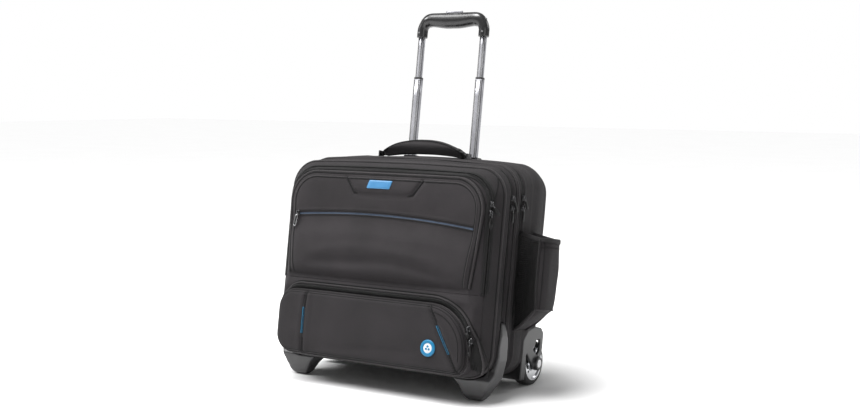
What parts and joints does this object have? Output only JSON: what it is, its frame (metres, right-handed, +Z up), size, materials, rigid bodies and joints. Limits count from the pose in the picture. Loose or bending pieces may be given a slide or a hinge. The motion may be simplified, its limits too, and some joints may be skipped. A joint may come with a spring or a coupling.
{
  "type": "rolling laptop case",
  "caption": "Upright fabric laptop case on two wheels, with zipped sections, lower pocket, side bottle pocket, padded top handle and telescopic trolley handle.",
  "frame": {"origin": "on the floor, under the middle of the whole case's box, with the case standing leaned back on its feet and wheels, as stored", "axes": "+Z up from the floor, +X to the right of someone facing the front, +Y towards the back, where the wheels and the trolley handle are"},
  "size_m": [0.489, 0.2928, 0.6414],
  "materials": {
    "body_fabric": "ballistic nylon weave, charcoal black, matt",
    "board_plastic": "black polypropylene sheet",
    "moulded_plastic": "dark grey, satin, fine grain",
    "gloss_black": "black, glossy",
    "tube_metal": "anodised, drawn",
    "pin_steel": "bright steel",
    "zip_tape": "black coil zip",
    "blue_zip": "blue grey coated zip",
    "zip_metal": "black nickel",
    "label_blue": "light blue, blank",
    "badge_blue": "blue ring, white centre",
    "accent_blue": "bright blue insert",
    "tyre_rubber": "dark soft rubber",
    "hub_silver": "silver plated disc",
    "pocket_mesh": "black mesh and weave"
  },
  "bodies": {
    "rear_section": {"rear_shell": "body_fabric", "back_board": "board_plastic", "base_plate": "board_plastic", "outer_tubes": "tube_metal", "tube_bracket": "board_plastic", "collars": "gloss_black", "bottle_pocket": "pocket_mesh", "base_screws": "pin_steel", "handle_tabs": "zip_metal", "wheel_axles": "pin_steel", "wheel_housing_left": "moulded_plastic", "wheel_housing_right": "moulded_plastic", "foot_left": "moulded_plastic", "foot_right": "moulded_plastic", "zip3_tape": "zip_tape"},
    "document_section": {"middle_shell": "body_fabric", "zip2_tape": "zip_tape"},
    "organiser_section": {"front_shell": "body_fabric", "zip1_tape": "zip_tape", "pocket_zip_tape": "zip_tape"},
    "front_panel": {"front_flap": "body_fabric", "blue_zip_tape": "blue_zip", "label": "label_blue"},
    "pocket_front": {"lower_pocket_front": "body_fabric", "badge": "badge_blue", "accents": "accent_blue"},
    "trolley_middle": {"middle_tubes": "tube_metal", "middle_tube_caps": "gloss_black"},
    "trolley_inner": {"inner_tubes": "tube_metal", "grip": "gloss_black", "grip_screws": "pin_steel", "inner_tube_plugs": "board_plastic"},
    "trolley_button": {"release_button": "hub_silver", "pushrods": "pin_steel"},
    "trolley_locks": {"lock_pins": "pin_steel"},
    "carry_handle": {"carry_handle": "body_fabric"},
    "wheel_left": {"tyre_left": "tyre_rubber", "hub_left": "hub_silver", "bearings_left": "pin_steel"},
    "wheel_right": {"tyre_right": "tyre_rubber", "hub_right": "hub_silver", "bearings_right": "pin_steel"},
    "zip1_upper_slider": {"zip1_upper_slider": "zip_metal"},
    "zip1_upper_puller": {"zip1_upper_puller": "zip_metal"},
    "zip1_lower_slider": {"zip1_lower_slider": "zip_metal"},
    "zip1_lower_puller": {"zip1_lower_puller": "zip_metal"},
    "zip2_upper_slider": {"zip2_upper_slider": "zip_metal"},
    "zip2_upper_puller": {"zip2_upper_puller": "zip_metal"},
    "zip2_lower_slider": {"zip2_lower_slider": "zip_metal"},
    "zip2_lower_puller": {"zip2_lower_puller": "zip_metal"},
    "zip3_upper_slider": {"zip3_upper_slider": "zip_metal"},
    "zip3_upper_puller": {"zip3_upper_puller": "zip_metal"},
    "zip3_lower_slider": {"zip3_lower_slider": "zip_metal"},
    "zip3_lower_puller": {"zip3_lower_puller": "zip_metal"},
    "pocket_zip_upper_slider": {"pocket_zip_upper_slider": "zip_metal"},
    "pocket_zip_upper_puller": {"pocket_zip_upper_puller": "zip_metal"},
    "pocket_zip_lower_slider": {"pocket_zip_lower_slider": "zip_metal"},
    "pocket_zip_lower_puller": {"pocket_zip_lower_puller": "zip_metal"},
    "front_zip_slider": {"front_zip_slider": "zip_metal"},
    "front_zip_puller": {"front_zip_puller": "zip_metal"}
  },
  "joints": [
    {"name": "document_section_open", "type": "hinge", "parent": "rear_section", "child": "document_section", "pos_m": [-0.027, -0.10367, 0.04338], "axis": [1, 0, 0], "range_deg": [0, 16]},
    {"name": "organiser_section_open", "type": "hinge", "parent": "document_section", "child": "organiser_section", "pos_m": [-0.027, -0.10367, 0.04338], "axis": [1, 0, 0], "range_deg": [0, 16]},
    {"name": "front_panel_fold", "type": "hinge", "parent": "organiser_section", "child": "front_panel", "pos_m": [-0.027, -0.11479, 0.17656], "axis": [1, 0, 0], "range_deg": [0, 95]},
    {"name": "lower_pocket_open", "type": "hinge", "parent": "organiser_section", "child": "pocket_front", "pos_m": [-0.027, -0.14277, 0.05235], "axis": [1, 0, 0], "range_deg": [0, 60]},
    {"name": "carry_handle_swing", "type": "hinge", "parent": "rear_section", "child": "carry_handle", "pos_m": [-0.027, 0.03555, 0.38716], "axis": [-1, 0, 0], "range_deg": [-30, 30]},
    {"name": "trolley_lower_slide", "type": "slide", "parent": "rear_section", "child": "trolley_middle", "axis": [0, 0.1502, 0.9887], "range_m": [-0.135, 0.12]},
    {"name": "trolley_upper_slide", "type": "slide", "parent": "trolley_middle", "child": "trolley_inner", "axis": [0, 0.1502, 0.9887], "range_m": [-0.072, 0.18]},
    {"name": "release_button_press", "type": "slide", "parent": "trolley_inner", "child": "trolley_button", "axis": [0, -0.1502, -0.9887], "range_m": [0, 0.0035], "stiffness_N_per_m": 900, "springref_m": -0.002},
    {"name": "lock_pin_slide", "type": "slide", "parent": "trolley_inner", "child": "trolley_locks", "axis": [0, -0.9887, 0.1502], "range_m": [0, 0.00122]},
    {"name": "wheel_left_spin", "type": "hinge", "parent": "rear_section", "child": "wheel_left", "pos_m": [-0.22, 0.06253, 0.038], "axis": [1, 0, 0], "continuous": true},
    {"name": "wheel_right_spin", "type": "hinge", "parent": "rear_section", "child": "wheel_right", "pos_m": [0.166, 0.06253, 0.038], "axis": [1, 0, 0], "continuous": true},
    {"name": "zip1_upper_slide", "type": "slide", "parent": "organiser_section", "child": "zip1_upper_slider", "axis": [0, 0.1502, 0.9887], "range_m": [0, 0.012]},
    {"name": "zip1_upper_puller_swing", "type": "hinge", "parent": "zip1_upper_slider", "child": "zip1_upper_puller", "pos_m": [0.17608, -0.08327, 0.32046], "axis": [-0.5707, -0.8118, 0.1234], "range_deg": [0, 160]},
    {"name": "zip1_lower_slide", "type": "slide", "parent": "organiser_section", "child": "zip1_lower_slider", "axis": [0, 0.1502, 0.9887], "range_m": [-0.1, 0]},
    {"name": "zip1_lower_puller_swing", "type": "hinge", "parent": "zip1_lower_slider", "child": "zip1_lower_puller", "pos_m": [0.17608, -0.08552, 0.30563], "axis": [-0.5707, -0.8118, 0.1234], "range_deg": [0, 100]},
    {"name": "zip2_upper_slide", "type": "slide", "parent": "document_section", "child": "zip2_upper_slider", "axis": [0, 0.1502, 0.9887], "range_m": [0, 0.016]},
    {"name": "zip2_upper_puller_swing", "type": "hinge", "parent": "zip2_upper_slider", "child": "zip2_upper_puller", "pos_m": [0.1894, -0.03638, 0.32648], "axis": [0, -0.9887, 0.1502], "range_deg": [0, 160]},
    {"name": "zip2_lower_slide", "type": "slide", "parent": "document_section", "child": "zip2_lower_slider", "axis": [0, 0.1502, 0.9887], "range_m": [-0.15, 0]},
    {"name": "zip2_lower_puller_swing", "type": "hinge", "parent": "zip2_lower_slider", "child": "zip2_lower_puller", "pos_m": [0.1894, -0.03878, 0.31066], "axis": [0, -0.9887, 0.1502], "range_deg": [0, 100]},
    {"name": "zip3_upper_slide", "type": "slide", "parent": "rear_section", "child": "zip3_upper_slider", "axis": [0, 0.1502, 0.9887], "range_m": [0, 0.016]},
    {"name": "zip3_upper_puller_swing", "type": "hinge", "parent": "zip3_upper_slider", "child": "zip3_upper_puller", "pos_m": [0.1894, 0.001, 0.32485], "axis": [0, -0.9887, 0.1502], "range_deg": [0, 160]},
    {"name": "zip3_lower_slide", "type": "slide", "parent": "rear_section", "child": "zip3_lower_slider", "axis": [0, 0.1502, 0.9887], "range_m": [-0.012, 0]},
    {"name": "zip3_lower_puller_swing", "type": "hinge", "parent": "zip3_lower_slider", "child": "zip3_lower_puller", "pos_m": [0.1894, -0.0014, 0.30903], "axis": [0, -0.9887, 0.1502], "range_deg": [0, 100]},
    {"name": "pocket_zip_upper_slide", "type": "slide", "parent": "organiser_section", "child": "pocket_zip_upper_slider", "axis": [-0.2425, 0.1457, 0.9591], "range_m": [0, 0.008]},
    {"name": "pocket_zip_upper_puller_swing", "type": "hinge", "parent": "pocket_zip_upper_slider", "child": "pocket_zip_upper_puller", "pos_m": [0.1575, -0.12839, 0.12502], "axis": [-1, 0, 0], "range_deg": [0, 150]},
    {"name": "pocket_zip_lower_slide", "type": "slide", "parent": "organiser_section", "child": "pocket_zip_lower_slider", "axis": [-0.2425, 0.1457, 0.9591], "range_m": [-0.012, 0]},
    {"name": "pocket_zip_lower_puller_swing", "type": "hinge", "parent": "pocket_zip_lower_slider", "child": "pocket_zip_lower_puller", "pos_m": [0.1635, -0.13124, 0.10623], "axis": [-1, 0, 0], "range_deg": [0, 100]},
    {"name": "front_zip_slide", "type": "slide", "parent": "front_panel", "child": "front_zip_slider", "axis": [1, 0, 0], "range_m": [0, 0.165]},
    {"name": "front_zip_puller_swing", "type": "hinge", "parent": "front_zip_slider", "child": "front_zip_puller", "pos_m": [-0.199, -0.10361, 0.28673], "axis": [-1, 0, 0], "range_deg": [0, 160]}
  ],
  "couplings": [
    {"joint": "lock_pin_slide", "follows": "release_button_press", "ratio": 0.34286}
  ]
}
